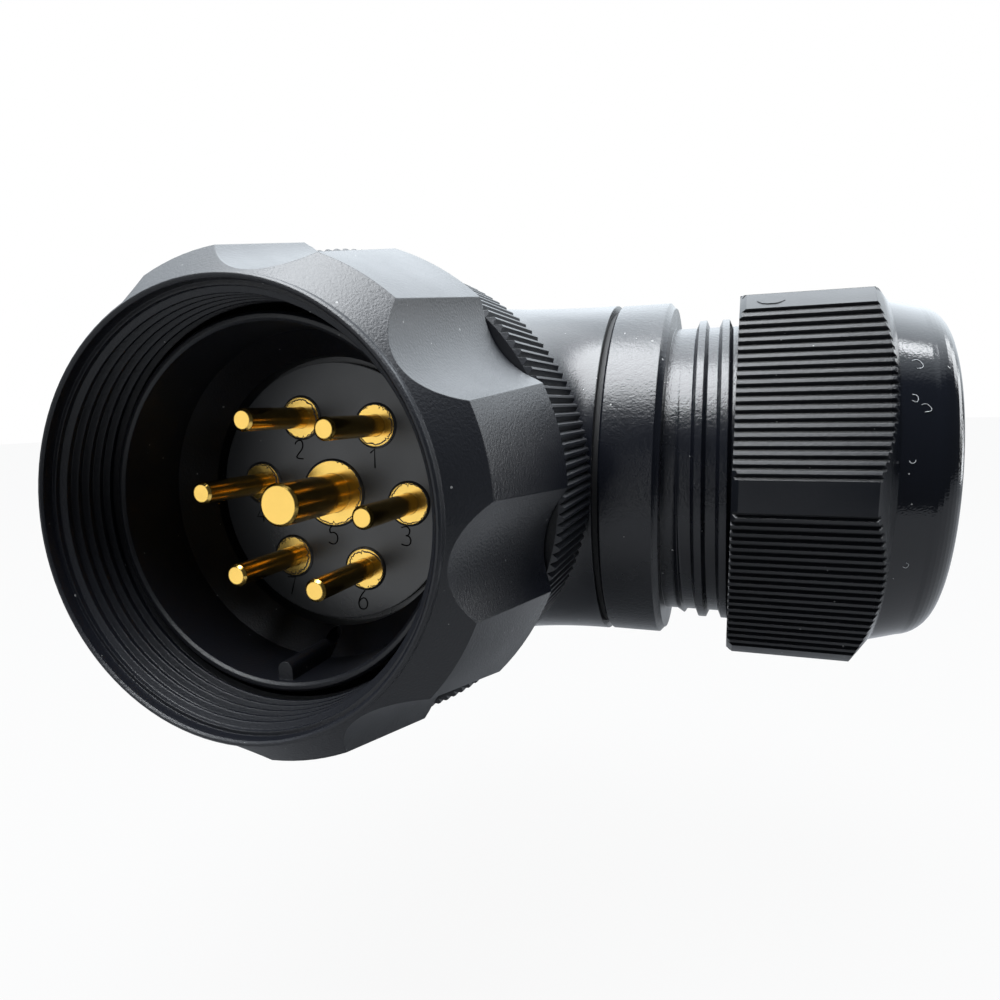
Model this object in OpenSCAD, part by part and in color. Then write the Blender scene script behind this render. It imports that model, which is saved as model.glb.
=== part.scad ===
// Right-angled circular cable plug with seven contacts, a screwed coupling ring
// and a cable gland. The mating axis runs along -Y, the cable leaves along +X,
// +Z is up, and the origin is the centre of the coupling ring's mouth.

/* [Contacts] */
// Radius of the circle that the outer contacts stand on
contact_circle_r = 4.7; // [4.5:0.05:4.9]
// Diameter of an outer contact pin
small_pin_d = 1.2; // [1:0.05:1.6]
// Diameter of the centre contact pin
centre_pin_d = 2.25; // [1.8:0.05:2.7]
// Diameter of the collar that seats an outer contact in the insert
small_collar_d = 2.3; // [2:0.05:2.5]
// Diameter of the collar that seats the centre contact in the insert
centre_collar_d = 3.7; // [3.2:0.05:4]
// Length of the contact pins in front of the insert
pin_reach = 5.95; // [4:0.05:6.2]
// Chamfer round the free end of a contact pin
pin_chamfer = 0.14; // [0.05:0.01:0.3]
// How far a contact's collar stands proud of the insert
collar_proud = 0.1; // [0:0.01:0.3]
// Outer diameter of the solder cup on an outer contact
small_cup_d = 1.9; // [1.6:0.05:2.2]
// Outer diameter of the solder cup on the centre contact
centre_cup_d = 3.2; // [2.8:0.05:3.6]
// Wall of a solder cup
cup_wall = 0.3; // [0.2:0.05:0.45]
// Depth of a solder cup
cup_depth = 2.2; // [1:0.1:3]
// Length of a solder cup behind the insert
cup_len = 2.6; // [2:0.1:4]
// Turn of the contact pattern about the mating axis
contact_clock = -6; // [-30:1:30]

/* [Insert] */
// Width of the groove between the insert and the shell
insert_groove = 0.32; // [0.1:0.01:0.4]
// Height that the insert's front boss stands in front of its flange
insert_boss_len = 0.75; // [0.5:0.05:1]
// Overlap of the insert's flange behind the shell's floor
insert_flange_lip = 0.55; // [0.3:0.05:0.9]
// Thickness of the insert's flange
insert_flange_t = 2.2; // [1.5:0.1:2.6]
// Radius of the boss behind the insert's flange
insert_rear_r = 6.9; // [6.5:0.05:7]
// How far the insert's front boss is wider than its rear boss
insert_step = 0.45; // [0.3:0.05:0.6]
// Length of the boss behind the insert's flange
insert_rear_len = 3.2; // [2.5:0.1:4]
// Thickness of the ring that screws in behind the insert
insert_nut_t = 1.2; // [0.8:0.05:1.4]
// Width of the spanner slots in the ring behind the insert
spanner_slot_w = 0.9; // [0.5:0.05:1.4]

/* [Shell] */
// Inner radius of the sleeve round the contacts
sleeve_inner_r = 8.97; // [8.6:0.01:9.4]
// Wall of the sleeve
sleeve_wall = 0.47; // [0.4:0.01:0.8]
// Length of the sleeve in front of its floor's edge
sleeve_reach = 4.52; // [3.5:0.02:5.2]
// Rounding of the sleeve's rim
sleeve_rim_chamfer = 0.14; // [0.05:0.01:0.18]
// How far the dished floor drops from its edge to the insert
floor_drop = 2; // [1.6:0.05:2.4]
// Width of the key inside the sleeve
key_w = 0.85; // [0.6:0.05:1.4]
// Height of the key inside the sleeve
key_h = 0.95; // [0.6:0.05:1.4]
// How far the key stops behind the sleeve's rim
key_setback = 0.15; // [0:0.05:1]
// Place of the key about the mating axis
key_clock = -88; // [-180:1:180]
// Radius of the moulding pocket at the foot of the key
key_pocket_r = 0.42; // [0.3:0.02:0.5]
// Rise of the sleeve's thicker foot, which the snap ring grips
foot_rise = 0.3; // [0.2:0.02:0.36]
// Thickness of the snap ring that keeps the coupling ring on the shell
snap_ring_t = 0.4; // [0.3:0.05:0.5]
// Depth of the snap ring's groove in the shell
snap_groove = 0.35; // [0.2:0.01:0.45]
// Gap between the ends of a snap ring
snap_ring_gap = 2.4; // [1:0.1:4]

/* [Coupling ring] */
// Length of the coupling ring
ring_len = 10.27; // [9.4:0.01:12]
// Radial gap for the mate's shell between the sleeve and the ring's thread
mate_gap = 0.43; // [0.4:0.01:0.8]
// Depth of the ring's thread
ring_thread_depth = 0.28; // [0.2:0.01:0.35]
// Pitch of the ring's thread
ring_thread_pitch = 0.74; // [0.6:0.01:0.9]
// Width of a thread ridge at its crest
ring_crest_w = 0.14; // [0.08:0.02:0.24]
// Number of thread ridges in the ring
ring_thread_ridges = 6; // [3:1:7]
// Length of the smooth lead in front of the ring's thread
ring_lead = 0.7; // [0.5:0.05:1.2]
// How far the lead is wider than the thread's root
ring_lead_step = 0.21; // [0.17:0.01:0.25]
// Wall of the ring's rim round its mouth
rim_wall = 0.51; // [0.4:0.01:0.8]
// Length of the straight lip at the ring's mouth
rim_len = 0.5; // [0.3:0.05:1]
// Chamfer of the rim's edges
rim_chamfer = 0.1; // [0.05:0.01:0.13]
// Length of the cone from the rim to the grip
shoulder_len = 1.69; // [1:0.01:2.4]
// Rise from the rim to the front of the grip
grip_rise = 1.55; // [1.3:0.05:2]
// How much the grip widens from front to rear
grip_flare = 1.45; // [0.6:0.05:1.6]
// Number of hollows round the grip
scallops = 8; // [5:1:9]
// Depth of the hollows at the front of the grip
scallop_depth = 1.12; // [0.8:0.02:1.2]
// Radius of the hollows
scallop_r = 4.7; // [4:0.1:7]
// Place of the first ridge of the grip about the mating axis
grip_clock = 14; // [-22:1:22]
// Thickness of the ring's inner lip at its rear
ring_lip_t = 0.85; // [0.6:0.05:1.4]
// Chamfer at the grip's rear edge
grip_chamfer = 0.25; // [0.1:0.05:0.5]

/* [Union nut] */
// How far the knurled union nut lies inside the grip's rear edge
union_inset = 0.31; // [0.2:0.01:0.5]
// Wall of the union nut
union_wall = 1.5; // [1.2:0.05:1.6]
// Thickness of the union nut's rear lip
union_lip_t = 1; // [0.7:0.05:1.2]
// Number of teeth in the knurl
knurl_teeth = 158; // [60:2:160]
// Depth of the knurl
knurl_depth = 0.28; // [0.1:0.01:0.3]
// Chamfer at the ends of the knurl
knurl_chamfer = 0.3; // [0.1:0.05:0.4]

/* [Elbow] */
// How far the elbow's tube lies below the union nut
union_step = 1.83; // [1.6:0.01:2.2]
// Wall of the elbow
elbow_wall = 2.9; // [2.4:0.05:3.2]
// How far the elbow's open end lies inside the union nut's radius
branch_margin = 0.11; // [0.05:0.01:0.3]
// Radius of the blend in the elbow's inner corner
corner_blend = 1.5; // [0.8:0.05:1.8]
// Radial width of the lip by which the union nut pulls on the spigot
union_lip_w = 1.2; // [0.9:0.05:1.3]
// Length of the spigot in front of the elbow's body
spigot_len = 2.15; // [2:0.05:2.5]
// Length of the elbow's nose in front of the spigot
nose_len = 1.14; // [0.9:0.02:1.3]
// Outer radius of the elbow's nose inside the shell
nose_r = 9; // [8.8:0.05:9.2]
// Inner radius of the elbow's nose
nose_bore_r = 7.7; // [7.3:0.05:8]
// Cord thickness of the seal round the nose
nose_seal_d = 0.6; // [0.4:0.02:0.7]
// Thickness of the clip that keeps the union nut on the spigot
clip_t = 0.5; // [0.3:0.05:0.6]
// Depth of the clip's groove in the spigot
clip_groove = 0.7; // [0.3:0.05:0.8]

/* [Cable gland] */
// Length of the gland body's collar
collar_len = 3.49; // [2.6:0.01:4]
// Chamfer at the collar's outer end
collar_chamfer = 0.36; // [0.2:0.02:0.6]
// Thickness of the gasket between the elbow and the gland
gasket_t = 0.37; // [0.3:0.01:0.6]
// How far the gasket's edge lies below the collar's
gasket_inset = 0.45; // [0.2:0.05:0.8]
// Length of the gland body's spigot inside the elbow
gland_spigot_len = 4.8; // [3:0.1:5]
// Inner radius of the gland body's spigot
gland_bore_r = 6.5; // [6:0.05:6.8]
// Pitch of the gland thread
gland_thread_pitch = 1.411; // [1.2:0.001:1.6]
// Depth of the gland thread
gland_thread_depth = 0.48; // [0.3:0.02:0.6]
// Width of a thread ridge at its crest
gland_crest_w = 0.42; // [0.2:0.02:0.5]
// Wall of the threaded neck under its thread
neck_wall = 1.32; // [1.1:0.02:1.5]
// Depth of the seal's chamber inside the neck
seal_chamber_depth = 8.2; // [7.6:0.1:8.8]
// Length of the rubber cable seal
seal_len = 3.2; // [2.5:0.1:3.8]
// Bore of the rubber cable seal
seal_bore_r = 5.5; // [4:0.1:6]
// Thickness of the pressure ring's flange
pressure_flange_t = 1.15; // [0.8:0.05:1.4]
// Bore of the pressure ring
pressure_bore_r = 6.2; // [5.8:0.05:6.6]

/* [Gland nut] */
// How far the gland nut's flats lie below the collar
nut_inset = 0.17; // [0.05:0.01:0.3]
// Rise of the gland nut's rounded corners above its flats
nut_corner_rise = 1.2; // [1:0.01:1.4]
// Wall of the gland nut between its flats and its thread
nut_wall = 1.05; // [0.9:0.05:1.3]
// Length of the gland nut
nut_len = 11.5; // [11.3:0.05:12.6]
// Length of the gland nut's ribbed hexagon
hex_len = 8.15; // [7.6:0.05:8.6]
// Gap between the collar and the gland nut
nut_gap = 4; // [3.2:0.05:4.4]
// Ribs on each flat of the gland nut
ribs_per_flat = 20; // [8:1:22]
// Pitch of the ribs
rib_pitch = 0.555; // [0.4:0.005:0.56]
// Depth of the grooves between the ribs
rib_depth = 0.24; // [0.1:0.02:0.28]
// Step from the gland nut's flats down to its dome
dome_step = 0.3; // [0.1:0.05:0.5]
// How much the dome narrows before its edge starts to round
dome_taper = 0.55; // [0.3:0.05:0.9]
// Rounding of the dome's edge
dome_round = 1.9; // [1.4:0.1:2.3]
// Radius of the cable hole in the gland nut
cable_hole_r = 6.6; // [6:0.05:7]
// Turns of the gland nut from this place to fully tightened
tighten_turns = 2; // [1:0.1:2.1]
// Turn of the gland nut about the cable axis
nut_clock = 2; // [-30:1:30]

/* [Fits] */
// Radial clearance of a turning or sliding fit
run_gap = 0.05; // [0.02:0.01:0.08]
// Radial clearance of a seated or screwed fit
seat_gap = 0.02; // [0.01:0.01:0.04]
// Axial play of the coupling ring on the shell
axial_play = 0.15; // [0.05:0.05:0.3]
// Gap between parts that turn past each other
pass_gap = 0.3; // [0.2:0.05:0.4]

/* [Hidden] */
round_fn = 96;
pin_fn = 48;
cut = 0.5;

// radii about the mating axis
sleeve_r = sleeve_inner_r + sleeve_wall;
key_root_r = sleeve_inner_r + sleeve_wall / 3;
ring_crest_r = sleeve_r + mate_gap;
ring_root_r = ring_crest_r + ring_thread_depth;
ring_relief_r = ring_root_r + seat_gap;
ring_lead_r = ring_root_r + ring_lead_step;
rim_r = ring_root_r + rim_wall;
grip_front_r = rim_r + grip_rise;
grip_rear_r = grip_front_r + grip_flare;
scallop_floor_r = grip_front_r - scallop_depth;
union_r = grip_rear_r - union_inset;
elbow_r = union_r - union_step;
insert_face_r = insert_rear_r + insert_step;
window_r = insert_face_r + insert_groove;
insert_flange_r = window_r + insert_flange_lip;
insert_bore_r = insert_flange_r + seat_gap;
foot_r = sleeve_r + foot_rise;
snap_groove_r = foot_r - snap_groove;
snap_ring_r = ring_relief_r - 0.12;
face_seal_d = (ring_relief_r - sleeve_r) * 0.75;
union_bore_r = union_r - union_wall;
shell_thread_r = union_bore_r - seat_gap;
spigot_r = union_bore_r - union_lip_w;
nose_pocket_r = nose_r + nose_seal_d + seat_gap;
clip_groove_r = spigot_r - clip_groove;
clip_r = union_bore_r - 0.1;

// heights on the mating axis, measured from the cable axis towards the mouth
union_rear_h = elbow_r + seat_gap * 5;
spigot_front_h = elbow_r + spigot_len;
shell_rear_h = spigot_front_h + seat_gap;
nose_front_h = spigot_front_h + nose_len;
counterbore_h = nose_front_h + seat_gap * 3;
insert_nut_h = counterbore_h + 0.2;
insert_flange_h = insert_nut_h + insert_nut_t;
insert_rear_h = insert_flange_h - insert_rear_len;
insert_seat_h = insert_flange_h + insert_flange_t;
insert_face_h = insert_seat_h + insert_boss_len;
floor_h = insert_face_h + 0.4;
floor_edge_h = floor_h + floor_drop;
sleeve_front_h = floor_edge_h + sleeve_reach;
snap_front_h = floor_edge_h - 0.2;
snap_rear_h = snap_front_h - snap_ring_t;
lip_front_h = snap_rear_h - axial_play;
ring_rear_h = lip_front_h - ring_lip_t;
ring_front_h = ring_rear_h + ring_len;
step_h = ring_rear_h - axial_play;
union_front_h = ring_rear_h - pass_gap;
union_len = union_front_h - union_rear_h;
clip_rear_h = union_rear_h + union_lip_t + seat_gap * 4;
clip_front_h = clip_rear_h + clip_t;
tip_h = insert_face_h + pin_reach;
thread_front_h = ring_front_h - ring_lead;
thread_rear_h = thread_front_h - ring_thread_ridges * ring_thread_pitch;
shoulder_h = ring_front_h - rim_len - shoulder_len;
grip_slope = atan(grip_flare / (shoulder_h - ring_rear_h - grip_chamfer));

// distances on the cable axis, measured from the mating axis
branch_len = union_r - branch_margin;
collar_x = branch_len + gasket_t;
neck_x = collar_x + collar_len;
gland_spigot_x = collar_x - gland_spigot_len;
nut_x = neck_x + nut_gap;
hex_end_x = nut_x + hex_len;
nut_end_x = nut_x + nut_len;
nut_thread_x = hex_end_x - 0.4;
nut_floor_x = nut_thread_x + pressure_flange_t + 0.3;
tighten_travel = tighten_turns * gland_thread_pitch;
neck_end_x = nut_thread_x - tighten_travel - 0.15;
seal_seat_x = neck_end_x - seal_chamber_depth;
seal_end_x = seal_seat_x + seal_len;
flange_rear_x = nut_floor_x - run_gap;
flange_front_x = flange_rear_x - pressure_flange_t;
skirt_front_x = seal_end_x + tighten_travel + 0.25;

// radii about the cable axis
chamber_r = elbow_r - elbow_wall;
collar_r = elbow_r - 0.05;
gasket_r = collar_r - gasket_inset;
gland_spigot_r = chamber_r - seat_gap;
flat_r = collar_r - nut_inset;
nut_corner_r = flat_r + nut_corner_rise;
dome_r = flat_r - dome_step;
dome_front_r = dome_r - dome_taper;
nut_bore_r = flat_r - nut_wall;
gland_thread_r = nut_bore_r - run_gap;
gland_root_r = gland_thread_r - gland_thread_depth;
seal_chamber_r = gland_root_r - neck_wall;
pressure_flange_r = seal_chamber_r + 0.5;
skirt_r = seal_chamber_r - run_gap;
flange_seat_r = pressure_flange_r + run_gap;

// turns a shape drawn upwards on Z, from where the axes cross, to stand on either axis
module from_crossing() translate([0, ring_front_h, 0]) children();
module on_mating_axis() from_crossing() rotate([90, 0, 0]) children();
module on_cable_axis() from_crossing() rotate([0, 90, 0]) children();

function polar(radius, angle) = [radius * cos(angle), radius * sin(angle)];

function turned(p, angle) =
    [p[0] * cos(angle) - p[1] * sin(angle), p[0] * sin(angle) + p[1] * cos(angle)];

// points of a quarter round from angle a to angle b about a centre
function arc_points(centre, radius, a, b, steps = 8) =
    [for (i = [0 : steps]) centre + polar(radius, a + (b - a) * i / steps)];

module revolved(points, fn = round_fn) rotate_extrude($fn = fn) polygon(points);

// a flat ring with a gap, as a snap ring or a clip
module open_ring(inner_r, outer_r, low, high, gap, turn) {
    difference() {
        revolved([[inner_r, low], [outer_r, low], [outer_r, high], [inner_r, high]]);
        rotate([0, 0, turn])
            translate([0, -gap / 2, low - cut])
                cube([outer_r + cut, gap, high - low + 2 * cut]);
    }
}

module seal_cord(centre_r, height, cord_d) {
    rotate_extrude($fn = round_fn)
        translate([centre_r, height])
            circle(d = cord_d, $fn = 24);
}

// ---- parts on the mating axis ----

module sleeve_key() {
    key_foot_r = sleeve_inner_r - key_h + key_w / 2;
    key_top_h = sleeve_front_h - key_setback;
    rotate([0, 0, key_clock]) {
        translate([key_foot_r, 0, floor_h])
            cylinder(d = key_w, h = key_top_h - floor_h, $fn = 32);
        translate([key_foot_r, -key_w / 2, floor_h])
            cube([key_root_r - key_foot_r, key_w, key_top_h - floor_h]);
    }
}

module shell_body() {
    c = sleeve_rim_chamfer;
    revolved([
        [sleeve_inner_r + c, sleeve_front_h],
        [sleeve_r - c, sleeve_front_h],
        [sleeve_r, sleeve_front_h - c],
        [sleeve_r, floor_edge_h],
        [foot_r, floor_edge_h],
        [foot_r, snap_front_h],
        [snap_groove_r, snap_front_h],
        [snap_groove_r, snap_rear_h],
        [foot_r, snap_rear_h],
        [foot_r, step_h],
        [shell_thread_r, step_h],
        [shell_thread_r, shell_rear_h],
        [nose_pocket_r, shell_rear_h],
        [nose_pocket_r, counterbore_h],
        [insert_bore_r, counterbore_h],
        [insert_bore_r, insert_seat_h + seat_gap],
        [window_r, insert_seat_h + seat_gap],
        [window_r, floor_h],
        [sleeve_inner_r, floor_edge_h],
        [sleeve_inner_r, sleeve_front_h - c]
    ]);
}

module plug_shell() {
    pocket_r = window_r + 0.05 + key_pocket_r;
    color([0.09, 0.09, 0.1])
        on_mating_axis()
            difference() {
                union() {
                    shell_body();
                    intersection() {
                        sleeve_key();
                        translate([0, 0, floor_h - cut])
                            cylinder(r = key_root_r, h = sleeve_front_h - floor_h, $fn = round_fn);
                    }
                }
                rotate([0, 0, key_clock])
                    translate([pocket_r, 0, floor_h - 0.3])
                        cylinder(r = key_pocket_r, h = floor_drop, $fn = 32);
            }
}

function contact_place(number) =
    number == 5 ? [0, 0] :
    polar(contact_circle_r, contact_clock + [60, 120, 0, 180, 0, -60, -120][number - 1]);

module contact(number) {
    centre = number == 5;
    pin_r = (centre ? centre_pin_d : small_pin_d) / 2;
    collar_body_r = (centre ? centre_collar_d : small_collar_d) / 2;
    cup_r = (centre ? centre_cup_d : small_cup_d) / 2;
    place = contact_place(number);
    color([0.83, 0.62, 0.22])
        on_mating_axis()
            translate([place[0], place[1], 0])
                revolved([
                    [0, insert_rear_h - cup_len + cup_depth],
                    [cup_r - cup_wall, insert_rear_h - cup_len + cup_depth],
                    [cup_r - cup_wall, insert_rear_h - cup_len],
                    [cup_r, insert_rear_h - cup_len],
                    [cup_r, insert_rear_h],
                    [collar_body_r, insert_rear_h],
                    [collar_body_r, insert_face_h + collar_proud],
                    [pin_r, insert_face_h + collar_proud],
                    [pin_r, tip_h - pin_chamfer],
                    [pin_r - pin_chamfer, tip_h],
                    [0, tip_h]
                ], pin_fn);
}

module contact_insert() {
    color([0.08, 0.08, 0.09])
        on_mating_axis()
            difference() {
                revolved([
                    [0, insert_rear_h],
                    [insert_rear_r, insert_rear_h],
                    [insert_rear_r, insert_flange_h],
                    [insert_flange_r, insert_flange_h],
                    [insert_flange_r, insert_seat_h],
                    [insert_face_r, insert_seat_h],
                    [insert_face_r, insert_face_h],
                    [0, insert_face_h]
                ]);
                for (number = [1 : 7]) {
                    place = contact_place(number);
                    collar_d = number == 5 ? centre_collar_d : small_collar_d;
                    translate([place[0], place[1], insert_rear_h - cut])
                        cylinder(r = collar_d / 2 + seat_gap / 2,
                                 h = insert_face_h - insert_rear_h + 2 * cut, $fn = pin_fn);
                }
            }
}

module insert_nut() {
    color([0.1, 0.1, 0.11])
        on_mating_axis()
            difference() {
                revolved([
                    [insert_rear_r + seat_gap, insert_nut_h],
                    [insert_flange_r, insert_nut_h],
                    [insert_flange_r, insert_flange_h - seat_gap],
                    [insert_rear_r + seat_gap, insert_flange_h - seat_gap]
                ]);
                for (turn = [0 : 90 : 270])
                    rotate([0, 0, turn])
                        translate([insert_rear_r - cut, -spanner_slot_w / 2, insert_nut_h - cut])
                            cube([insert_flange_r, spanner_slot_w, insert_nut_t / 2 + cut]);
            }
}

module face_seal() {
    color([0.05, 0.05, 0.05])
        on_mating_axis()
            seal_cord(sleeve_r + seat_gap + face_seal_d / 2,
                      floor_edge_h + seat_gap + face_seal_d / 2, face_seal_d);
}

module snap_ring() {
    color([0.55, 0.56, 0.58])
        on_mating_axis()
            open_ring(snap_groove_r + seat_gap, snap_ring_r,
                      snap_rear_h + seat_gap, snap_front_h - seat_gap, snap_ring_gap, 75);
}

module ring_profile() {
    c = rim_chamfer;
    flank = ring_thread_depth * 0.6;
    ridge_points = [for (i = [0 : ring_thread_ridges - 1])
        let (h = thread_rear_h + i * ring_thread_pitch)
        each [
            [ring_root_r, h],
            [ring_crest_r, h + flank],
            [ring_crest_r, h + flank + ring_crest_w],
            [ring_root_r, h + 2 * flank + ring_crest_w]
        ]];
    polygon(concat([
        [ring_relief_r, thread_rear_h],
        [ring_relief_r, lip_front_h],
        [foot_r + run_gap, lip_front_h],
        [foot_r + run_gap, ring_rear_h],
        [grip_rear_r - grip_chamfer, ring_rear_h],
        [grip_rear_r, ring_rear_h + grip_chamfer],
        [grip_front_r, shoulder_h],
        [rim_r, shoulder_h + shoulder_len],
        [rim_r, ring_front_h - c],
        [rim_r - c, ring_front_h],
        [ring_lead_r + c, ring_front_h],
        [ring_lead_r, ring_front_h - c],
        [ring_lead_r, thread_front_h],
        [ring_root_r, thread_front_h]
    ], [for (i = [len(ridge_points) - 1 : -1 : 0]) ridge_points[i]]));
}

module coupling_ring() {
    color([0.1, 0.1, 0.11])
        on_mating_axis()
            difference() {
                rotate_extrude($fn = round_fn) ring_profile();
                for (i = [0 : scallops - 1])
                    rotate([0, 0, grip_clock + (i + 0.5) * 360 / scallops])
                        translate([scallop_floor_r, 0, shoulder_h])
                            rotate([0, -grip_slope, 0])
                                translate([scallop_r, 0, -ring_len])
                                    cylinder(r = scallop_r, h = 2 * ring_len, $fn = round_fn);
            }
}

// the toothed outline of the knurl
module knurl_outline() {
    tooth = 360 / knurl_teeth;
    polygon([for (i = [0 : knurl_teeth - 1]) each [
        polar(union_r, tooth * (i - 0.13)),
        polar(union_r, tooth * (i + 0.13)),
        polar(union_r - knurl_depth, tooth * (i + 0.5))
    ]]);
}

module union_nut() {
    c = knurl_chamfer;
    color([0.1, 0.1, 0.11])
        on_mating_axis()
            difference() {
                intersection() {
                    translate([0, 0, union_rear_h])
                        linear_extrude(union_len) knurl_outline();
                    revolved([
                        [0, union_rear_h - cut],
                        [union_r - c, union_rear_h - cut],
                        [union_r - c, union_rear_h],
                        [union_r + cut, union_rear_h + c + cut],
                        [union_r + cut, union_front_h - c - cut],
                        [union_r - c, union_front_h],
                        [union_r - c, union_front_h + cut],
                        [0, union_front_h + cut]
                    ]);
                }
                translate([0, 0, union_rear_h - cut])
                    cylinder(r = spigot_r + seat_gap, h = union_len, $fn = round_fn);
                translate([0, 0, union_rear_h + union_lip_t])
                    cylinder(r = union_bore_r, h = union_len, $fn = round_fn);
            }
}

module union_clip() {
    color([0.55, 0.56, 0.58])
        on_mating_axis()
            open_ring(clip_groove_r + seat_gap, clip_r, clip_rear_h, clip_front_h,
                      snap_ring_gap, 250);
}

module nose_seal() {
    color([0.05, 0.05, 0.05])
        on_mating_axis()
            seal_cord(nose_r + seat_gap / 2 + nose_seal_d / 2,
                      (spigot_front_h + counterbore_h) / 2, nose_seal_d);
}

// ---- elbow ----

module elbow_outside() {
    bend_r = elbow_r + corner_blend;
    on_mating_axis()
        revolved([
            [0, 0],
            [elbow_r, 0],
            [elbow_r, elbow_r],
            [spigot_r, elbow_r],
            [spigot_r, clip_rear_h - seat_gap],
            [clip_groove_r, clip_rear_h - seat_gap],
            [clip_groove_r, clip_front_h + seat_gap],
            [spigot_r, clip_front_h + seat_gap],
            [spigot_r, spigot_front_h],
            [nose_r, spigot_front_h],
            [nose_r, nose_front_h],
            [0, nose_front_h]
        ]);
    on_cable_axis()
        cylinder(r = elbow_r, h = branch_len, $fn = round_fn);
    // the blend in the inner corner is a pipe bend, cut off behind the union nut
    from_crossing() {
        sphere(r = elbow_r, $fn = round_fn);
        intersection() {
            translate([bend_r, -bend_r, 0])
                rotate([0, 0, 90])
                    rotate_extrude(angle = 90, $fn = round_fn)
                        translate([bend_r, 0])
                            circle(r = elbow_r, $fn = round_fn);
            translate([0, -elbow_r, -elbow_r - cut])
                cube([branch_len, 2 * elbow_r, 2 * elbow_r + 2 * cut]);
        }
    }
}

module elbow_housing() {
    color([0.09, 0.09, 0.1])
        difference() {
            elbow_outside();
            on_mating_axis()
                cylinder(r = nose_bore_r, h = nose_front_h + cut, $fn = round_fn);
            on_cable_axis()
                cylinder(r = chamber_r, h = branch_len + cut, $fn = round_fn);
            from_crossing()
                sphere(r = chamber_r, $fn = round_fn);
        }
}

module elbow_gasket() {
    color([0.04, 0.04, 0.04])
        on_cable_axis()
            revolved([
                [chamber_r + seat_gap, branch_len],
                [gasket_r, branch_len],
                [gasket_r, collar_x],
                [chamber_r + seat_gap, collar_x]
            ]);
}

// ---- parts on the cable axis ----

module gland_profile() {
    flank = gland_thread_depth * 0.5;
    first_ridge_x = neck_x + 0.65;
    ridges = floor((neck_end_x - first_ridge_x - 0.6) / gland_thread_pitch) + 1;
    ridge_points = [for (i = [0 : ridges - 1])
        let (x = first_ridge_x + i * gland_thread_pitch)
        each [
            [gland_root_r, x - gland_crest_w / 2 - flank],
            [gland_thread_r, x - gland_crest_w / 2],
            [gland_thread_r, x + gland_crest_w / 2],
            [gland_root_r, x + gland_crest_w / 2 + flank]
        ]];
    polygon(concat([
        [gland_bore_r, gland_spigot_x],
        [gland_spigot_r, gland_spigot_x],
        [gland_spigot_r, collar_x],
        [collar_r - 0.12, collar_x],
        [collar_r, collar_x + 0.12],
        [collar_r, neck_x - collar_chamfer],
        [collar_r - collar_chamfer * 0.8, neck_x - 0.12],
        [collar_r - collar_chamfer, neck_x],
        [gland_root_r, neck_x]
    ], ridge_points, [
        [gland_root_r, neck_end_x - 0.2],
        [gland_root_r - 0.2, neck_end_x],
        [seal_chamber_r, neck_end_x],
        [seal_chamber_r, seal_seat_x],
        [gland_bore_r, seal_seat_x]
    ]));
}

module gland_body() {
    color([0.1, 0.1, 0.11])
        on_cable_axis()
            rotate_extrude($fn = round_fn) gland_profile();
}

module cable_seal() {
    entry = 0.8;
    color([0.06, 0.06, 0.06])
        on_cable_axis()
            revolved([
                [seal_bore_r, seal_seat_x + seat_gap],
                [seal_chamber_r - seat_gap, seal_seat_x + seat_gap],
                [seal_chamber_r - seat_gap, seal_end_x - entry],
                [seal_chamber_r - entry, seal_end_x],
                [seal_bore_r, seal_end_x]
            ]);
}

module pressure_ring() {
    entry = 0.8;
    color([0.16, 0.16, 0.17])
        on_cable_axis()
            revolved([
                [pressure_bore_r, flange_rear_x],
                [pressure_bore_r, skirt_front_x + entry],
                [skirt_r - entry, skirt_front_x],
                [skirt_r, skirt_front_x],
                [skirt_r, flange_front_x],
                [pressure_flange_r, flange_front_x],
                [pressure_flange_r, flange_rear_x]
            ]);
}

// the outline of the hexagon, with square ribs across each flat and sharp corners
module ribbed_hexagon() {
    top_w = rib_pitch * 0.36;
    floor_w = rib_pitch * 0.34;
    first = -(ribs_per_flat - 1) / 2 * rib_pitch;
    polygon([for (face = [0 : 5]) each concat(
        [for (i = [0 : ribs_per_flat - 1])
            let (mid = first + i * rib_pitch)
            each [for (p = [
                [flat_r, mid - rib_pitch / 2 + top_w / 2],
                [flat_r - rib_depth, mid - floor_w / 2],
                [flat_r - rib_depth, mid + floor_w / 2],
                [flat_r, mid + rib_pitch / 2 - top_w / 2]
            ]) turned(p, face * 60)]],
        [polar(flat_r / cos(30), face * 60 + 30)]
    )]);
}

// envelope that rounds the hexagon's corners and forms the end cone
module nut_envelope() {
    lead = 0.35;
    cone = nut_corner_r - dome_r;
    revolved([
        [0, nut_x],
        [nut_corner_r - lead, nut_x],
        [nut_corner_r, nut_x + lead],
        [nut_corner_r, hex_end_x - cone * 0.7],
        [dome_r, hex_end_x],
        [0, hex_end_x]
    ]);
}

module nut_dome() {
    tip_r = dome_front_r - dome_round;
    round_x = nut_end_x - dome_round;
    revolved(concat(
        [[0, hex_end_x - 2], [dome_r, hex_end_x - 2], [dome_r, hex_end_x - 0.2]],
        arc_points([tip_r, round_x], dome_round, 8, 90, 10),
        [[0, nut_end_x]]
    ));
}

module nut_bores() {
    mouth_round = 0.6;
    lead = 0.4;
    revolved([
        [0, nut_x - cut],
        [nut_bore_r + lead, nut_x - cut],
        [nut_bore_r + lead, nut_x],
        [nut_bore_r, nut_x + lead],
        [nut_bore_r, nut_thread_x],
        [flange_seat_r, nut_thread_x],
        [flange_seat_r, nut_floor_x],
        [cable_hole_r, nut_floor_x],
        [cable_hole_r, nut_end_x - mouth_round],
        [cable_hole_r + mouth_round, nut_end_x],
        [cable_hole_r + mouth_round, nut_end_x + cut],
        [0, nut_end_x + cut]
    ]);
}

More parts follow.
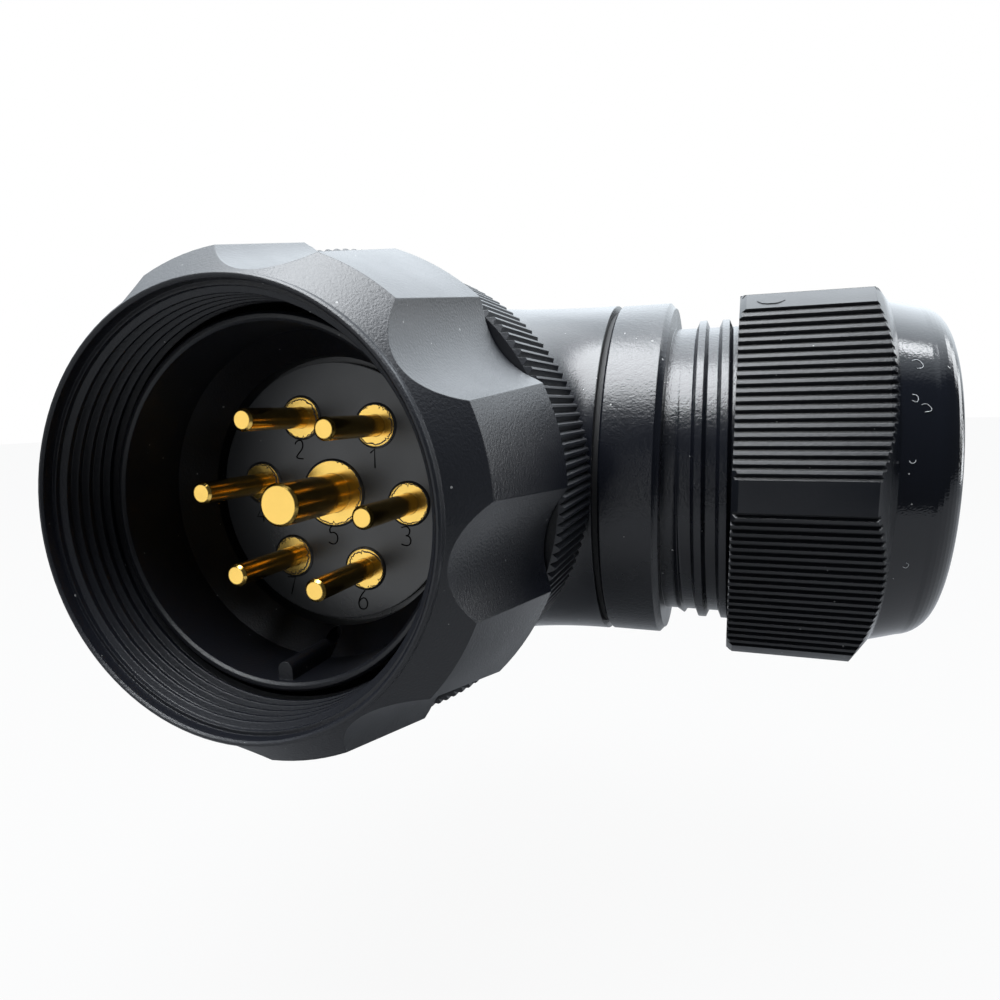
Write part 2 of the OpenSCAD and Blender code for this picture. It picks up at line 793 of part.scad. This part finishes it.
module gland_nut() {
    color([0.07, 0.07, 0.08])
        on_cable_axis()
            rotate([0, 0, nut_clock])
                difference() {
                    union() {
                        intersection() {
                            translate([0, 0, nut_x])
                                linear_extrude(hex_len) ribbed_hexagon();
                            nut_envelope();
                        }
                        nut_dome();
                    }
                    nut_bores();
                }
}

plug_shell();
contact_insert();
insert_nut();
contact(1);  // contact_1
contact(2);  // contact_2
contact(3);  // contact_3
contact(4);  // contact_4
contact(5);  // contact_5
contact(6);  // contact_6
contact(7);  // contact_7
face_seal();
snap_ring();
coupling_ring();
union_nut();
union_clip();
nose_seal();
elbow_housing();
elbow_gasket();
gland_body();
cable_seal();
pressure_ring();
gland_nut();
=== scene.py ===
import math
import random
import bpy
import bmesh
from mathutils import Matrix, Vector


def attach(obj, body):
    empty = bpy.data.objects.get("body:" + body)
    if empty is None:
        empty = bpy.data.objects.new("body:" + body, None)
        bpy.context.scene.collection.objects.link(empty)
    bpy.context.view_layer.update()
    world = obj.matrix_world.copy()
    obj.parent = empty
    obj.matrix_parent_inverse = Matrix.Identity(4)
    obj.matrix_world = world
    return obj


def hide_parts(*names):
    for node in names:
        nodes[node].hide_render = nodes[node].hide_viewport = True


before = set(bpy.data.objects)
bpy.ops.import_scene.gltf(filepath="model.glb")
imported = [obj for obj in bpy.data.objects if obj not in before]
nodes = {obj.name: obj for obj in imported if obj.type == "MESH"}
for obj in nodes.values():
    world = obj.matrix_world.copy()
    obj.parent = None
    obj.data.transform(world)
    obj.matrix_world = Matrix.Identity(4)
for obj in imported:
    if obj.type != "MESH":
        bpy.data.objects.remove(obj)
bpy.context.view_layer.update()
MM = 0.001

# places in millimetres, as in the part's source
CABLE_Y = 30.29        # the cable axis lies this far behind the coupling ring's mouth
FACE_Y = 11.07         # the insert's front face, behind the mouth
CONTACT_CIRCLE = 4.7   # radius that the outer contacts stand on
CONTACT_ANGLES = {1: 54, 2: 114, 3: -6, 4: 174, 6: -66, 7: -126}
CENTRE_CONTACT = 5
COLLAR_R = {n: 1.85 if n == CENTRE_CONTACT else 1.15 for n in range(1, 8)}
NUT_CORNER_R = 12.47   # the gland nut's corner bands stand this far off the cable axis
DOME_X = 29.05         # the gland nut's dome starts here
DOME_R = 11.0          # its radius there
DOME_SLOPE = 0.298     # how fast it narrows, up to where its edge rounds


# ---------------------------------------------------------------- modelling helpers

def put_piece(name, mesh, body, material):
    ob = bpy.data.objects.new(name, mesh)
    bpy.context.scene.collection.objects.link(ob)
    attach(ob, body)
    ob.data.materials.append(material)
    return ob


def finished_mesh(name, bm, crease_degrees=30):
    """Merges, turns the faces outwards and splits the shading at the sharp edges."""
    bmesh.ops.remove_doubles(bm, verts=bm.verts, dist=2e-7)
    bmesh.ops.dissolve_degenerate(bm, dist=1e-7, edges=bm.edges)
    bmesh.ops.recalc_face_normals(bm, faces=bm.faces)
    for f in bm.faces:
        f.smooth = True
    for e in bm.edges:
        e.smooth = len(e.link_faces) == 2 and e.calc_face_angle(0.0) < math.radians(crease_degrees)
    me = bpy.data.meshes.new(name)
    bm.to_mesh(me)
    bm.free()
    return me


def closed_outline(bm, points):
    """A closed loop of edges through points, which a spin sweeps into a skin."""
    verts = [bm.verts.new(p) for p in points]
    edges = [bm.edges.new((a, b)) for a, b in zip(verts, verts[1:] + verts[:1])]
    return verts + edges


def beside_cable(x, r):
    """A point in the plane through the cable axis, r in front of it."""
    return Vector((x, CABLE_Y - r, 0)) * MM


def contact_place(n):
    if n == CENTRE_CONTACT:
        return 0.0, 0.0
    a = math.radians(CONTACT_ANGLES[n])
    return CONTACT_CIRCLE * math.cos(a), CONTACT_CIRCLE * math.sin(a)


def smooth_step(t):
    t = min(max(t, 0.0), 1.0)
    return t * t * (3 - 2 * t)


# ---------------------------------------------------------------- shader node groups

def node_group(name, outputs):
    g = bpy.data.node_groups.new(name, "ShaderNodeTree")
    for label in outputs:
        g.interface.new_socket(name=label, in_out="OUTPUT", socket_type="NodeSocketFloat")
    return g, g.nodes.new("NodeGroupOutput"), g.nodes.new("ShaderNodeTexCoord")


def add_noise(tree, vector, scale, detail=2.0, rough=0.5):
    n = tree.nodes.new("ShaderNodeTexNoise")
    n.inputs["Scale"].default_value = scale
    n.inputs["Detail"].default_value = detail
    n.inputs["Roughness"].default_value = rough
    tree.links.new(vector, n.inputs["Vector"])
    return n.outputs["Fac"]


def add_range(tree, value, lo, hi, to_lo=0.0, to_hi=1.0):
    n = tree.nodes.new("ShaderNodeMapRange")
    n.inputs["From Min"].default_value = lo
    n.inputs["From Max"].default_value = hi
    n.inputs["To Min"].default_value = to_lo
    n.inputs["To Max"].default_value = to_hi
    tree.links.new(value, n.inputs["Value"])
    return n.outputs["Result"]


def add_math(tree, operation, a, b):
    n = tree.nodes.new("ShaderNodeMath")
    n.operation = operation
    for socket, value in zip(n.inputs, (a, b)):
        if isinstance(value, (int, float)):
            socket.default_value = value
        else:
            tree.links.new(value, socket)
    return n.outputs[0]


def moulded_skin():
    """What every moulding shares: grain, slow ripple, handling smears and dust specks."""
    g, out, co = node_group("moulded_skin", ("Grain", "Sand", "Ripple", "Smear", "Dust"))
    at = co.outputs["Object"]
    g.links.new(add_noise(g, at, 8000.0, 1.0, 0.6), out.inputs["Grain"])
    g.links.new(add_noise(g, at, 3400.0, 2.0, 0.6), out.inputs["Sand"])
    g.links.new(add_noise(g, at, 620.0, 1.5, 0.5), out.inputs["Ripple"])
    g.links.new(add_noise(g, at, 95.0, 4.0, 0.62), out.inputs["Smear"])
    cells = g.nodes.new("ShaderNodeTexVoronoi")
    cells.inputs["Scale"].default_value = 1100.0
    g.links.new(at, cells.inputs["Vector"])
    dice = g.nodes.new("ShaderNodeSeparateColor")
    g.links.new(cells.outputs["Color"], dice.inputs["Color"])
    chosen = add_math(g, "GREATER_THAN", dice.outputs["Red"], 0.4)
    radius = add_range(g, dice.outputs["Green"], 0.0, 1.0, 0.025, 0.075)
    inside = add_math(g, "LESS_THAN", cells.outputs["Distance"], radius)
    g.links.new(add_math(g, "MULTIPLY", chosen, inside), out.inputs["Dust"])
    return g


def turned_marks():
    """Rings left by the lathe, round each contact and across its tip."""
    g, out, co = node_group("turned_marks", ("Height", "Patches"))
    at = co.outputs["Object"]
    flat = g.nodes.new("ShaderNodeMapping")
    flat.inputs["Scale"].default_value = (0.02, 1.0, 0.02)
    g.links.new(at, flat.inputs["Vector"])
    g.links.new(add_noise(g, flat.outputs["Vector"], 9000.0), out.inputs["Height"])
    g.links.new(add_noise(g, at, 900.0, 3.0), out.inputs["Patches"])
    return g


def finish_areas():
    """Where a moulding's surface differs: the cable nut's polished dome, and the coupling
    ring's sanded front cone."""
    g, out, co = node_group("finish_areas", ("Dome", "Cone"))
    place = g.nodes.new("ShaderNodeSeparateXYZ")
    g.links.new(co.outputs["Object"], place.inputs["Vector"])
    g.links.new(add_range(g, place.outputs["X"], 0.0287, 0.0291), out.inputs["Dome"])
    facing = g.nodes.new("ShaderNodeSeparateXYZ")
    g.links.new(co.outputs["Normal"], facing.inputs["Vector"])
    g.links.new(add_range(g, facing.outputs["Y"], -0.45, -0.6), out.inputs["Cone"])
    return g


SKIN = moulded_skin()
TURNED = turned_marks()
AREAS = finish_areas()


# ---------------------------------------------------------------- materials

def new_material(name, color):
    mat = bpy.data.materials.new(name)
    mat.use_nodes = True
    tree = mat.node_tree
    tree.nodes.clear()
    out = tree.nodes.new("ShaderNodeOutputMaterial")
    shader = tree.nodes.new("ShaderNodeBsdfPrincipled")
    shader.inputs["Base Color"].default_value = (*color, 1)
    tree.links.new(shader.outputs["BSDF"], out.inputs["Surface"])
    return mat, tree, shader


def place_group(tree, group):
    n = tree.nodes.new("ShaderNodeGroup")
    n.node_tree = group
    return n


def soft_edges(tree, round_mm):
    n = tree.nodes.new("ShaderNodeBevel")
    n.samples = 4
    n.inputs["Radius"].default_value = round_mm * MM
    return n.outputs["Normal"]


def bumped(tree, height, normal, strength, depth_mm):
    n = tree.nodes.new("ShaderNodeBump")
    n.inputs["Strength"].default_value = strength
    n.inputs["Distance"].default_value = depth_mm * MM
    tree.links.new(height, n.inputs["Height"])
    tree.links.new(normal, n.inputs["Normal"])
    return n.outputs["Normal"]


def moulding(name, color, rough, rough_span=0.06, grain=0.25, sand=0.0, ripple=0.0, dust=0.5,
             coat=0.0, round_mm=0.08, specular=0.5, area=None, area_rough=0.5):
    """A moulded plastic or rubber: rough, its spread by smears, and a grained, rippled skin.
    An area of finish_areas may have a roughness of its own."""
    mat, tree, shader = new_material(name, color)
    shader.inputs["Specular IOR Level"].default_value = specular
    shader.inputs["Coat Weight"].default_value = coat
    shader.inputs["Coat Roughness"].default_value = 0.04
    skin = place_group(tree, SKIN)
    spread = add_range(tree, skin.outputs["Smear"], 0.3, 0.7,
                       rough - rough_span, rough + rough_span)
    if area:
        blend = tree.nodes.new("ShaderNodeMix")
        blend.inputs["B"].default_value = area_rough
        tree.links.new(place_group(tree, AREAS).outputs[area], blend.inputs["Factor"])
        tree.links.new(spread, blend.inputs["A"])
        spread = blend.outputs["Result"]
    tree.links.new(spread, shader.inputs["Roughness"])
    mix = tree.nodes.new("ShaderNodeMix")
    mix.data_type = "RGBA"
    mix.inputs["A"].default_value = (*color, 1)
    mix.inputs["B"].default_value = (0.42, 0.42, 0.41, 1)
    tree.links.new(add_math(tree, "MULTIPLY", skin.outputs["Dust"], dust), mix.inputs["Factor"])
    tree.links.new(mix.outputs["Result"], shader.inputs["Base Color"])
    normal = soft_edges(tree, round_mm)
    if ripple:
        normal = bumped(tree, skin.outputs["Ripple"], normal, ripple, 0.03)
    if sand:
        normal = bumped(tree, skin.outputs["Sand"], normal, sand, 0.03)
    normal = bumped(tree, skin.outputs["Grain"], normal, grain, 0.016)
    tree.links.new(normal, shader.inputs["Normal"])
    return mat


def plated_gold():
    mat, tree, shader = new_material("contact_gold", (0.98, 0.64, 0.16))
    shader.inputs["Metallic"].default_value = 1.0
    marks = place_group(tree, TURNED)
    tree.links.new(add_range(tree, marks.outputs["Patches"], 0.3, 0.7, 0.14, 0.24),
                   shader.inputs["Roughness"])
    normal = bumped(tree, marks.outputs["Height"], soft_edges(tree, 0.07), 0.1, 0.01)
    tree.links.new(normal, shader.inputs["Normal"])
    return mat


def spring_steel():
    mat, tree, shader = new_material("spring_steel", (0.55, 0.56, 0.58))
    shader.inputs["Metallic"].default_value = 1.0
    skin = place_group(tree, SKIN)
    tree.links.new(add_range(tree, skin.outputs["Smear"], 0.3, 0.7, 0.2, 0.38),
                   shader.inputs["Roughness"])
    tree.links.new(bumped(tree, skin.outputs["Grain"], soft_edges(tree, 0.05), 0.1, 0.01),
                   shader.inputs["Normal"])
    return mat


BLACK = (0.0044, 0.0052, 0.0084)
LOOKS = {
    "shell": moulding("shell_black", BLACK, 0.4, grain=0.8),
    "insert": moulding("insert_black", (0.017, 0.019, 0.023), 0.32, grain=0.2, specular=0.9),
    "figure": moulding("figure_black", (0.001, 0.001, 0.001), 0.6, grain=0.05, dust=0,
                       specular=0.12, round_mm=0.02),
    "inner": moulding("insert_nut_black", BLACK, 0.5),
    "gold": plated_gold(),
    "rubber": moulding("seal_rubber", (0.006, 0.006, 0.007), 0.62, grain=0.4, dust=0.3),
    "steel": spring_steel(),
    "ring": moulding("ring_black", BLACK, 0.33, grain=0.95, ripple=0.06, area="Cone",
                     area_rough=0.42),
    "union": moulding("union_black", BLACK, 0.4, grain=0.6, dust=0.8, round_mm=0.04),
    "elbow": moulding("elbow_black", BLACK, 0.24, grain=0.6, sand=0.2, ripple=0.5),
    "gland": moulding("gland_black", BLACK, 0.27, grain=0.8, sand=0.55, ripple=0.1, dust=0.7),
    "pressure": moulding("pressure_grey", (0.05, 0.05, 0.052), 0.45),
    "nut": moulding("nut_black", (0.0042, 0.005, 0.0076), 0.36, grain=0.4, ripple=0.04,
                    dust=0.8, round_mm=0.05, area="Dome", area_rough=0.1),
    "lint": moulding("lint_grey", (0.5, 0.51, 0.52), 0.6, dust=0, round_mm=0.01),
}
NODE_LOOKS = {
    "plug_shell": "shell", "contact_insert": "insert", "insert_nut": "inner",
    "face_seal": "rubber", "snap_ring": "steel", "coupling_ring": "ring",
    "union_nut": "union", "union_clip": "steel", "nose_seal": "rubber",
    "elbow_housing": "elbow", "elbow_gasket": "rubber", "gland_body": "gland",
    "cable_seal": "rubber", "pressure_ring": "pressure", "gland_nut": "nut",
    **{f"contact_{n}": "gold" for n in range(1, 8)},
}
for node, look in NODE_LOOKS.items():
    nodes[node].data.materials.clear()
    nodes[node].data.materials.append(LOOKS[look])


# ---------------------------------------------------------------- gland body with its helix

THREAD = {"pitch": 1.411, "root": 9.72, "crest": 10.2, "crest_w": 0.42, "foot_w": 0.9}
NECK_X, NECK_END = 17.1, 25.88
FIRST_CREST_X = 17.43 - THREAD["pitch"]   # at the top of the neck


def thread_height(x):
    """The thread grows out of the neck beside the collar and runs out at its end."""
    grow_from, grow_over, out_before, out_over = NECK_X + 0.4, 1.3, 0.3, 0.9
    return (smooth_step((x - grow_from) / grow_over)
            * smooth_step((NECK_END - out_before - x) / out_over))


def gland_body():
    bm = bmesh.new()
    outline = [(8.81, 6.5), (8.81, 8.6), (13.61, 8.6), (13.61, 11.35), (13.73, 11.47),
               (16.74, 11.47), (16.98, 11.18), (NECK_X, 11.11), (NECK_X, THREAD["root"]),
               (NECK_END - 0.2, THREAD["root"]), (NECK_END, THREAD["root"] - 0.2),
               (NECK_END, 8.4), (17.68, 8.4), (17.68, 6.5)]
    axis_point = Vector((0, CABLE_Y, 0)) * MM
    bmesh.ops.spin(bm, geom=closed_outline(bm, [beside_cable(x, r) for x, r in outline]),
                   cent=axis_point, axis=(1, 0, 0), angle=2 * math.pi, steps=160,
                   use_merge=True)

    # the ridge starts in front of the axis, a quarter of a pitch past its place at the top
    turns, steps = 7, 128
    sunk = THREAD["root"] - 0.12
    mid = FIRST_CREST_X + THREAD["pitch"] * 0.25
    ridge = [(mid - THREAD["foot_w"] / 2, sunk), (mid - THREAD["crest_w"] / 2, THREAD["crest"]),
             (mid + THREAD["crest_w"] / 2, THREAD["crest"]), (mid + THREAD["foot_w"] / 2, sunk)]
    start = closed_outline(bm, [beside_cable(x, r) for x, r in ridge])
    core = set(bm.verts) - set(start)
    bmesh.ops.spin(bm, geom=start, cent=axis_point, axis=(1, 0, 0), angle=2 * math.pi * turns,
                   steps=turns * steps, dvec=(THREAD["pitch"] * MM / steps, 0, 0))
    for v in bm.verts:
        if v in core:
            continue
        out = v.co - axis_point
        out.x = 0.0
        r = out.length / MM
        faded = sunk + (r - sunk) * thread_height(v.co.x / MM)
        v.co += out * (faded / r - 1)
        v.co.x = min(max(v.co.x, (NECK_X - 0.1) * MM), (NECK_END - 0.1) * MM)
    bmesh.ops.holes_fill(bm, edges=[e for e in bm.edges if e.is_boundary], sides=4)
    ob = put_piece("gland_body_thread", finished_mesh("gland_body_thread", bm), "plug",
                   LOOKS["gland"])
    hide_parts("gland_body")


gland_body()


# ---------------------------------------------------------------- contact seats and numbers

def contact_seat(n):
    """Flash of the insert that laps raggedly over the edge of a contact's collar."""
    rnd = random.Random(40 + n)
    steps = 144
    cx, cz = contact_place(n)
    collar = COLLAR_R[n]
    lap = collar - (0.06 if n == CENTRE_CONTACT else 0.1)
    centre = Vector((cx, 0, cz)) * MM
    bm = bmesh.new()
    outline = [(lap, FACE_Y - 0.125), (collar + 0.12, FACE_Y - 0.03),
               (collar + 0.12, FACE_Y + 0.05), (lap, FACE_Y + 0.05)]
    bmesh.ops.spin(bm, geom=closed_outline(bm, [centre + Vector((r, y, 0)) * MM
                                                for r, y in outline]),
                   cent=centre, axis=(0, -1, 0), angle=2 * math.pi, steps=steps,
                   use_merge=True)
    lean = rnd.uniform(0, 2 * math.pi)
    walk, bites = 0.0, []
    for i in range(steps):
        walk = 0.72 * walk + rnd.uniform(-0.04, 0.04)
        nick = 0.12 if rnd.random() < 0.06 else 0.0
        swell = 0.07 * math.cos(2 * math.pi * i / steps - lean)
        bites.append(min(walk + swell - nick, collar - 0.01 - lap))
    for v in bm.verts:
        out = v.co - centre
        out.y = 0.0
        if out.length < (collar + 0.02) * MM:
            turn = int(round(math.atan2(out.z, out.x) / (2 * math.pi) * steps)) % steps
            v.co += out.normalized() * bites[turn] * MM
    put_piece(f"contact_seat_{n}", finished_mesh(f"contact_seat_{n}", bm, 35), "plug",
              LOOKS["insert"])


# strokes of each figure, across and up in its own height
FIGURES = {
    1: [(0.2, 0.8), (0.5, 1.0), (0.5, 0.0)],
    2: [(0.05, 0.8), (0.15, 1.0), (0.6, 1.02), (0.66, 0.6), (0.3, 0.3), (0.03, 0.0),
        (0.65, 0.0)],
    3: [(0.05, 0.95), (0.4, 1.06), (0.66, 0.85), (0.55, 0.55), (0.3, 0.53), (0.62, 0.5),
        (0.72, 0.15), (0.4, -0.06), (0.03, 0.06)],
    4: [(0.5, 0.0), (0.5, 1.0), (0.0, 0.3), (0.68, 0.3)],
    5: [(0.6, 1.0), (0.14, 1.0), (0.1, 0.56), (0.4, 0.66), (0.7, 0.5), (0.68, 0.1),
        (0.3, -0.08), (0.02, 0.08)],
    6: [(0.5, 1.0), (0.2, 0.72), (0.0, 0.35), (0.08, -0.04), (0.5, -0.06), (0.7, 0.2),
        (0.6, 0.56), (0.25, 0.6), (0.05, 0.35)],
    7: [(0.02, 1.0), (0.62, 1.0), (0.25, 0.0)],
}


def contact_number(n):
    """A thin raised figure below each contact."""
    height, width, bar_r = 1.05, 0.86, 0.042
    cx, cz = contact_place(n)
    left, low = (cx - 0.42, cz - 2.95) if n == CENTRE_CONTACT else (cx - 0.52, cz - 2.35)
    curve = bpy.data.curves.new(f"contact_number_{n}", "CURVE")
    curve.dimensions = "3D"
    curve.bevel_depth = bar_r * MM
    curve.bevel_resolution = 1
    curve.resolution_u = 6
    straight = n in (1, 4, 7)
    spline = curve.splines.new("POLY" if straight else "NURBS")
    spline.points.add(len(FIGURES[n]) - 1)
    for point, (x, z) in zip(spline.points, FIGURES[n]):
        point.co = ((left + x * width) * MM, FACE_Y * MM, (low + z * height) * MM, 1)
    if not straight:
        spline.order_u = 3
        spline.use_endpoint_u = True
    curve.use_fill_caps = True
    loose = bpy.data.objects.new("loose", curve)
    mesh = bpy.data.meshes.new_from_object(loose)
    mesh.name = f"contact_number_{n}"
    bpy.data.objects.remove(loose)
    put_piece(f"contact_number_{n}", mesh, "plug", LOOKS["figure"])


for number in range(1, 8):
    contact_seat(number)
    contact_number(number)


# ---------------------------------------------------------------- marks and dirt

def gate_mark():
    """The stub left where the gland nut was filled, on its upper corner near the front."""
    bm = bmesh.new()
    bmesh.ops.create_circle(bm, cap_ends=True, segments=28, radius=0.5 * MM)
    cap = bm.faces[:]
    for inset, rise in ((0.16, 0.05), (0.1, -0.03), (0.1, 0.04)):
        bmesh.ops.inset_region(bm, faces=cap, thickness=inset * MM, depth=rise * MM)
    rnd = random.Random(7)
    for v in bm.verts:
        v.co += Vector((rnd.uniform(-1, 1), rnd.uniform(-1, 1), rnd.uniform(0, 0.4))) * 0.02 * MM
    bmesh.ops.scale(bm, vec=(1.5, 1.0, 1.0), verts=bm.verts)
    gate_x, lean = 22.8, math.radians(58)
    out = Vector((0, -math.cos(lean), math.sin(lean)))
    along = Vector((1, 0, 0))
    turn = Matrix((along, out.cross(along), out)).transposed().to_4x4()
    turn.translation = Vector((gate_x, CABLE_Y, 0)) * MM + out * NUT_CORNER_R * MM
    bmesh.ops.transform(bm, matrix=turn, verts=bm.verts)
    put_piece("nut_gate_mark", finished_mesh("nut_gate_mark", bm, 50), "gland",
              LOOKS["nut"])


def lint(name, body, x, lean_degrees, radius, length, curl, seed):
    """A stray fibre that lies on a surface of revolution about the cable axis."""
    rnd = random.Random(seed)
    curve = bpy.data.curves.new(name, "CURVE")
    curve.dimensions = "3D"
    curve.bevel_depth = 0.016 * MM
    curve.bevel_resolution = 0
    curve.resolution_u = 5
    spline = curve.splines.new("NURBS")
    count = 7
    spline.points.add(count - 1)
    heading = rnd.uniform(0, 2 * math.pi)
    px, lean = x, math.radians(lean_degrees)
    for point in spline.points:
        r = radius(px) + 0.02
        point.co = (px * MM, (CABLE_Y - r * math.cos(lean)) * MM, r * math.sin(lean) * MM, 1)
        heading += rnd.uniform(0.2, 1.0) * curl
        px += length / count * math.cos(heading)
        lean += length / count * math.sin(heading) / r
    spline.order_u = 3
    spline.use_endpoint_u = True
    loose = bpy.data.objects.new("loose", curve)
    mesh = bpy.data.meshes.new_from_object(loose)
    mesh.name = name
    bpy.data.objects.remove(loose)
    put_piece(name, mesh, body, LOOKS["lint"])


def dome_radius(x):
    return DOME_R - (x - DOME_X) * DOME_SLOPE


# each fibre's place along the cable, degrees above the front, length and curl
DOME_FIBRES = [(30.1, 36, 1.5, 1.0), (29.8, 27, 1.1, -1.2), (30.4, 22, 1.3, 1.4),
               (30.0, 8, 0.6, -1.0), (29.9, -24, 0.8, 1.2)]
gate_mark()
for i, (x, lean, length, curl) in enumerate(DOME_FIBRES):
    lint(f"lint_{i + 1}", "gland", x, lean, dome_radius, length, curl, 20 + i)


# ---------------------------------------------------------------- floor, lights and camera

def floor():
    """A pale table top that starts below the mouth and runs back, white to the camera."""
    half, front, top = 0.9, -0.05, -0.032
    bm = bmesh.new()
    bmesh.ops.create_grid(bm, x_segments=1, y_segments=1, size=half)
    bmesh.ops.translate(bm, verts=bm.verts, vec=(0, front + half, top))
    me = bpy.data.meshes.new("floor")
    bm.to_mesh(me)
    bm.free()
    ob = bpy.data.objects.new("floor", me)
    bpy.context.scene.collection.objects.link(ob)
    mat = bpy.data.materials.new("floor_white")
    mat.use_nodes = True
    tree = mat.node_tree
    tree.nodes.clear()
    out = tree.nodes.new("ShaderNodeOutputMaterial")
    path = tree.nodes.new("ShaderNodeLightPath")
    cloth = tree.nodes.new("ShaderNodeBsdfDiffuse")
    cloth.inputs["Color"].default_value = (0.2, 0.2, 0.205, 1)
    glow = tree.nodes.new("ShaderNodeEmission")
    mix = tree.nodes.new("ShaderNodeMixShader")
    tree.links.new(add_math(tree, "MULTIPLY", path.outputs["Is Camera Ray"], 0.93),
                   mix.inputs["Fac"])
    tree.links.new(cloth.outputs["BSDF"], mix.inputs[1])
    tree.links.new(glow.outputs["Emission"], mix.inputs[2])
    tree.links.new(mix.outputs["Shader"], out.inputs["Surface"])
    me.materials.append(mat)


def soft_box(name, place, power, size, size_y=None, color=(0.95, 0.975, 1.0)):
    light = bpy.data.lights.new(name, "AREA")
    light.energy = power
    light.color = color
    light.shape = "RECTANGLE"
    light.size = size
    light.size_y = size_y or size
    ob = bpy.data.objects.new(name, light)
    bpy.context.scene.collection.objects.link(ob)
    aim = Vector((0.008, 0.018, 0.0))
    ob.location = place
    ob.rotation_mode = "QUATERNION"
    ob.rotation_quaternion = (aim - Vector(place)).to_track_quat("-Z", "Y")


def studio_world():
    """White to the camera; to the object bright above and behind, and dark in front."""
    world = bpy.data.worlds.new("studio")
    bpy.context.scene.world = world
    world.use_nodes = True
    tree = world.node_tree
    tree.nodes.clear()
    out = tree.nodes.new("ShaderNodeOutputWorld")
    co = tree.nodes.new("ShaderNodeTexCoord")
    split = tree.nodes.new("ShaderNodeSeparateXYZ")
    tree.links.new(co.outputs["Generated"], split.inputs["Vector"])
    back = add_math(tree, "MULTIPLY", split.outputs["Y"], 0.4)
    beside = add_math(tree, "SUBTRACT", split.outputs["X"],
                      add_math(tree, "MULTIPLY", split.outputs["Y"], 0.6))
    right = add_math(tree, "MULTIPLY", add_math(tree, "MAXIMUM", beside, 0.0), -0.5)
    height = add_math(tree, "ADD", add_math(tree, "ADD", split.outputs["Z"], back), right)
    above = add_range(tree, height, 0.3, 0.95, 0.0, 3.6)
    level = add_math(tree, "ADD", above, 0.06)
    lit = tree.nodes.new("ShaderNodeBackground")
    lit.inputs["Color"].default_value = (0.87, 0.94, 1.0, 1)
    tree.links.new(level, lit.inputs["Strength"])
    seen = tree.nodes.new("ShaderNodeBackground")
    seen.inputs["Color"].default_value = (1, 1, 1, 1)
    path = tree.nodes.new("ShaderNodeLightPath")
    mix = tree.nodes.new("ShaderNodeMixShader")
    tree.links.new(path.outputs["Is Camera Ray"], mix.inputs["Fac"])
    tree.links.new(lit.outputs["Background"], mix.inputs[1])
    tree.links.new(seen.outputs["Background"], mix.inputs[2])
    tree.links.new(mix.outputs["Shader"], out.inputs["Surface"])


def camera():
    """Close in front of the cable end, turned left towards the mouth and a little down."""
    yaw, pitch, roll = math.radians(22.52), math.radians(-8.63), math.radians(-1.147)
    forward = Vector((-math.sin(yaw) * math.cos(pitch), math.cos(yaw) * math.cos(pitch),
                      math.sin(pitch)))
    level = Vector((math.cos(yaw), math.sin(yaw), 0))
    upright = level.cross(forward)
    right = math.cos(roll) * level + math.sin(roll) * upright
    up = math.cos(roll) * upright - math.sin(roll) * level
    stand = Matrix((right, up, -forward)).transposed().to_4x4()
    stand.translation = Vector((21.404, CABLE_Y - 59.145, 4.678)) * MM
    data = bpy.data.cameras.new("camera")
    data.sensor_width = 36
    data.lens = 28.444
    data.shift_x = 0.0876
    data.shift_y = 0.0287
    data.clip_start = 0.002
    data.clip_end = 5
    ob = bpy.data.objects.new("camera", data)
    bpy.context.scene.collection.objects.link(ob)
    ob.matrix_world = stand
    bpy.context.scene.camera = ob


floor()
soft_box("top_box", (-0.02, -0.04, 0.24), 1.35, 0.18)
soft_box("front_left_box", (-0.125, -0.25, -0.03), 0.185, 0.24)
soft_box("back_right_box", (0.2, 0.16, 0.06), 0.12, 0.06, 0.16)
soft_box("dome_box", (0.157, 0.06, 0.22), 0.03, 0.036, 0.02)
soft_box("back_top_box", (0.045, 0.12, 0.24), 0.07, 0.12)
studio_world()
camera()
bpy.context.scene.view_settings.view_transform = "Standard"
